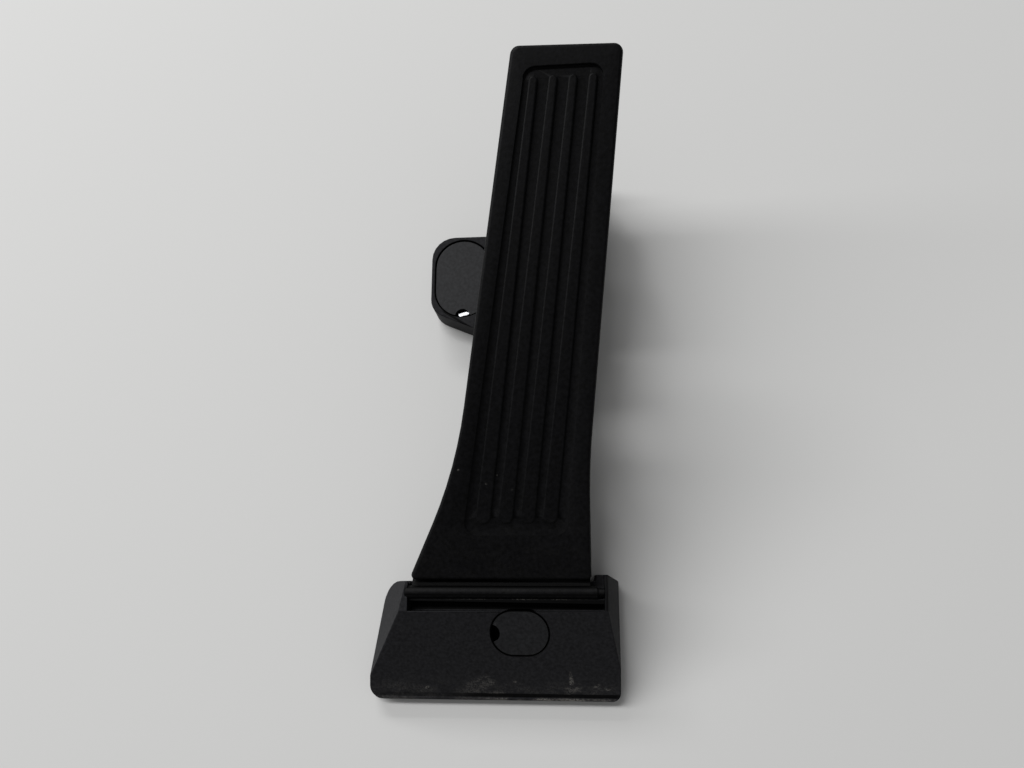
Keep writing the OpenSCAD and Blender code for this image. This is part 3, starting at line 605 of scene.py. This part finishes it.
def lacquered_board():
    material, tree, surface, place = blank_material("lacquered_board")
    tracks = node(tree, "ShaderNodeTexBrick", {"Vector": place, "Scale": 500.0, "Mortar Size": 0.12,
                                               "Color1": (0.012, 0.085, 0.032, 1),
                                               "Color2": (0.014, 0.095, 0.036, 1),
                                               "Mortar": (0.030, 0.150, 0.060, 1)})
    tree.links.new(tracks.outputs["Color"], surface.inputs["Base Color"])
    surface.inputs["Roughness"].default_value = 0.3
    surface.inputs["Coat Weight"].default_value = 0.6
    return material


finishes["zinc_steel"] = metal("zinc_steel", (0.60, 0.61, 0.63), 0.36, (1, 1, 0.2))
finishes["spring_steel"] = metal("spring_steel", (0.52, 0.52, 0.53), 0.28, (1, 0.15, 1))
finishes["pin_brass"] = metal("pin_brass", (0.72, 0.55, 0.28), 0.3, (1, 0.2, 1))
finishes["board"] = lacquered_board()
print("finishes:", sorted(finishes))


# %% [markdown]
# Each node of the record names a material slot. CAD nodes that stay as they are take their finish in
# their own slots. A piece that stands for a node takes that node's slot and rides that node's body.

# %% Dress the solids
slots = {s["node"]: s["material_slot"] for s in frame["record"]["subparts"]}
body_of_node = {n: b for b, names in frame["record"]["behaviour"]["bodies"].items() for n in names}
for name, solid in frame["nodes"].items():
    solid.data.materials.clear()
    solid.data.materials.append(finishes[slots[name]])


def stands_for(piece, name):
    piece.data.materials.clear()
    piece.data.materials.append(finishes[slots[name]])
    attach(piece, body_of_node[name])
    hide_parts(name)


print("slots:", len(set(slots.values())), "nodes dressed:", len(slots))


# %% [markdown]
# The photo shows bright metal in the notch of the ear's cap. It is taken for a turned-up tab of the bolt
# sleeve: a short oval post with a rounded top, which rides the sleeve's body.

# %% Sleeve tab
tab_sides = 32
tab_edge, tab_edge_steps = 0.35 * mm, 4
top_reach = 0.01


def sleeve_tab(centre, radius, half_run, turn, low, high):
    turned_run = Matrix.Rotation(math.radians(turn), 2)
    shape = bmesh.new()
    for height in (low, high):
        for side in range(tab_sides):
            angle = math.tau * (side + 0.5) / tab_sides
            run = half_run if math.cos(angle) > 0 else -half_run
            corner = turned_run @ Vector((radius * math.cos(angle) + run, radius * math.sin(angle)))
            shape.verts.new(((centre[0] + corner.x) * mm, (centre[1] + corner.y) * mm, height * mm))
    shape.verts.ensure_lookup_table()
    bottom, top = shape.verts[:tab_sides], shape.verts[tab_sides:]
    shape.faces.new(bottom[::-1])
    shape.faces.new(top)
    for side in range(tab_sides):
        after = (side + 1) % tab_sides
        shape.faces.new((bottom[side], bottom[after], top[after], top[side]))
    rim = [e for e in shape.edges if all(v.co.z > (high - top_reach) * mm for v in e.verts)]
    bmesh.ops.bevel(shape, geom=rim, offset=tab_edge, offset_type="OFFSET", segments=tab_edge_steps,
                    profile=0.5, affect="EDGES", clamp_overlap=False, material=-1)
    return finished(shape, "ear_sleeve_tab")


tab = sleeve_tab(centre=(-27.2, 143.4), radius=1.05, half_run=1.8, turn=14, low=8.5, high=12.8)
tab.data.materials.append(finishes["zinc_steel"])
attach(tab, body_of_node["ear_bolt_sleeve"])
print("sleeve tab faces:", len(tab.data.polygons))


# %% [markdown]
# The mouldings, sleeves and rubber stops are shown as rounded copies, each with a radius that suits its
# size, in mm. The pad's levels are taken along its own normal, which leans back by the pad's tilt.

# %% Rounded pieces
rounding = {"housing": 0.5, "pedal_pad": 0.35, "front_bolt_cap": 0.3, "ear_bolt_cap": 0.35,
            "mechanism_cover": 0.4, "side_cover": 0.4, "lever": 0.5, "slide_plate": 0.3,
            "friction_piston": 0.3, "front_bolt_sleeve": 0.25, "ear_bolt_sleeve": 0.25,
            "idle_buffer": 0.5, "full_travel_buffer": 0.4}
pad_tilt = math.radians(17)
lofts = {"pedal_pad": Vector((0, -math.sin(pad_tilt), math.cos(pad_tilt)))}
for name, width in rounding.items():
    stands_for(rounded_copy(name, width * mm, lofted=lofts.get(name)), name)


# %% [markdown]
# The piston presses two coil springs, one inside the other, against a seat at the rear wall. Each coil
# is shown as a welded copy with its own mesh, and the length it would shorten to at the piston's full
# travel is printed.

# %% Springs
coil_smooth = 60  # degrees
slide = next(j for j in frame["record"]["behaviour"]["joints"] if j["name"] == "piston_slide")
for name in ("outer_spring", "inner_spring"):
    front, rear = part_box(name)
    coil = finished(welded_copy(name), name + "_coil", smooth=coil_smooth)
    stands_for(coil, name)
    length = rear.y - front.y
    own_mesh(coil)
    shortest = length - slide["range_m"][1]
    print(name, "shortens to", round(shortest / mm, 2), "of", round(length / mm, 2), "mm")
